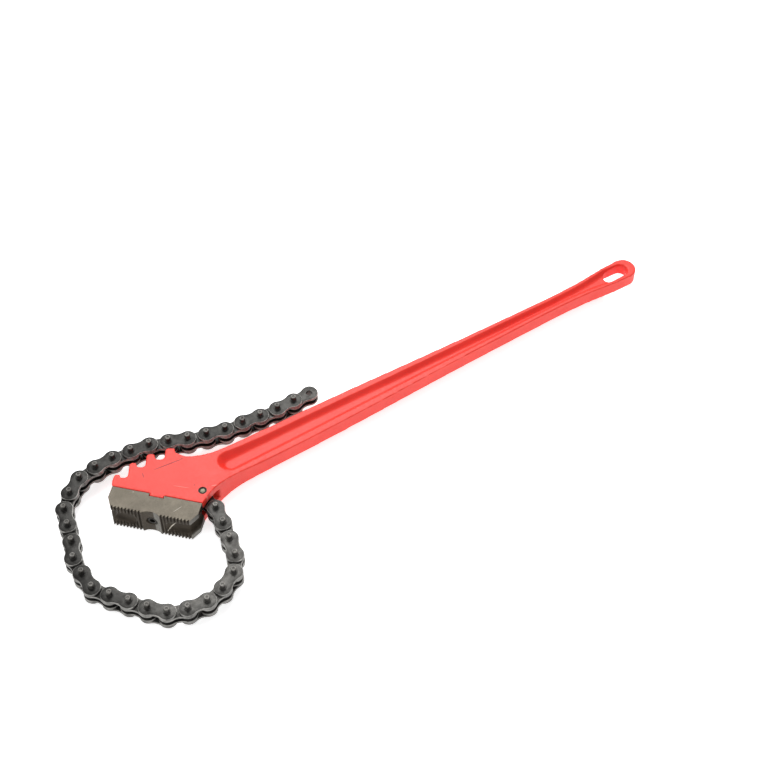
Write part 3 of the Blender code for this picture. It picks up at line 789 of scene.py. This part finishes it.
def outer_link():
    """Two plates riveted on two long pins with dimpled tips."""
    link = plates("outer_link", BUSH_LONG / 2 + PLATE_THICK + GAP)
    plate_top = BUSH_LONG / 2 + 2 * PLATE_THICK + GAP
    collar_top = plate_top + COLLAR_HIGH
    tip = PIN_LONG / 2
    upper = [(PIN_R, plate_top - 0.6), (COLLAR_R, plate_top - 0.6), (COLLAR_R, collar_top - 0.3),
             (COLLAR_R - 0.3, collar_top), (PIN_R + 0.15, collar_top), (PIN_R, collar_top + 0.2),
             (PIN_R, tip - 0.6), (PIN_R - 0.5, tip)] + [(r, tip - deep) for r, deep in DIMPLE]
    finish = [PLATE] * 5 + [PIN, TIP, TIP, PIN, PIN]
    profile = [(r, -z) for r, z in reversed(upper)] + upper
    bands = finish[::-1] + [PIN] + finish + [PIN, PIN]
    combine(link, at_both_pins(profile, sides=32, bands=bands), "UNION")
    return link


def make_chain():
    """Every link is a copy of one of two meshes, laid where its CAD node lies."""
    kinds = {"inner_link": (inner_link(), "chain_steel"),
             "outer_link": (outer_link(), "chain_plate_steel")}
    for pattern, _ in kinds.values():
        place(pattern, Matrix.Scale(MM, 4))
        shade(pattern, SHARP_CHAIN)
    for joint in JOINTS.values():
        node = joint["child"]
        pattern, slot = kinds[node.rsplit("_", 1)[0]]
        low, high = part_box(node)
        centre = (low + high) / 2
        heading = centre - Vector(joint["pos_m"])
        link = bpy.data.objects.new("detailed_" + node, pattern.data.copy())
        bpy.context.scene.collection.objects.link(link)
        turn = Matrix.Rotation(atan2(heading.y, heading.x), 4, "Z")
        place(link, Matrix.Translation((centre.x, centre.y, MID_Z * MM)) @ turn)
        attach(link, node)
        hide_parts(node)
    for pattern, _ in kinds.values():
        bpy.data.objects.remove(pattern, do_unlink=True)


# ------------------------------------------------------------------ the stage
def make_floor():
    """A pale floor just under the part."""
    square = rectangle(-FLOOR_HALF, -FLOOR_HALF, FLOOR_HALF, FLOOR_HALF)
    floor = place(slab("studio_floor", square, FLOOR_BASE, FLOOR_TOP), Matrix.Scale(MM, 4))
    white = Nodes("floor_white", (0.93, 0.93, 0.93), 0.55)
    white.shader.inputs["Emission Color"].default_value = (1, 1, 1, 1)
    white.shader.inputs["Emission Strength"].default_value = FLOOR_GLOW
    white.set("Roughness", white.ramp(white.noise(8, 2), [(0.3, 0.5), (0.7, 0.6)]))
    floor.data.materials.append(white.material)


def make_light(name, at, target, size, power):
    lamp = bpy.data.lights.new(name, "AREA")
    lamp.shape, lamp.size, lamp.energy = "DISK", size, power
    holder = bpy.data.objects.new(name, lamp)
    bpy.context.scene.collection.objects.link(holder)
    holder.location = at
    holder.rotation_euler = (Vector(target) - Vector(at)).to_track_quat("-Z", "Y").to_euler()


def make_stage():
    make_floor()
    for light in LIGHTS:
        make_light(*light)
    world = bpy.data.worlds.new("studio")
    world.use_nodes = True
    background = world.node_tree.nodes["Background"]
    background.inputs["Color"].default_value = (1, 1, 1, 1)
    background.inputs["Strength"].default_value = WORLD_GLOW
    bpy.context.scene.world = world
    bpy.context.scene.view_settings.view_transform = "Standard"


def make_camera():
    camera = bpy.data.cameras.new("photo_view")
    camera.lens, camera.sensor_width = CAMERA_LENS, CAMERA_SENSOR
    holder = bpy.data.objects.new("photo_view", camera)
    bpy.context.scene.collection.objects.link(holder)
    holder.location = CAMERA_AT
    holder.rotation_euler = (radians(90 - CAMERA_TILT), 0, -radians(CAMERA_HEADING))
    bpy.context.scene.camera = holder


make_handle()
make_jaw()
make_screw()
make_anchor_pin()
make_chain()
make_stage()
make_camera()
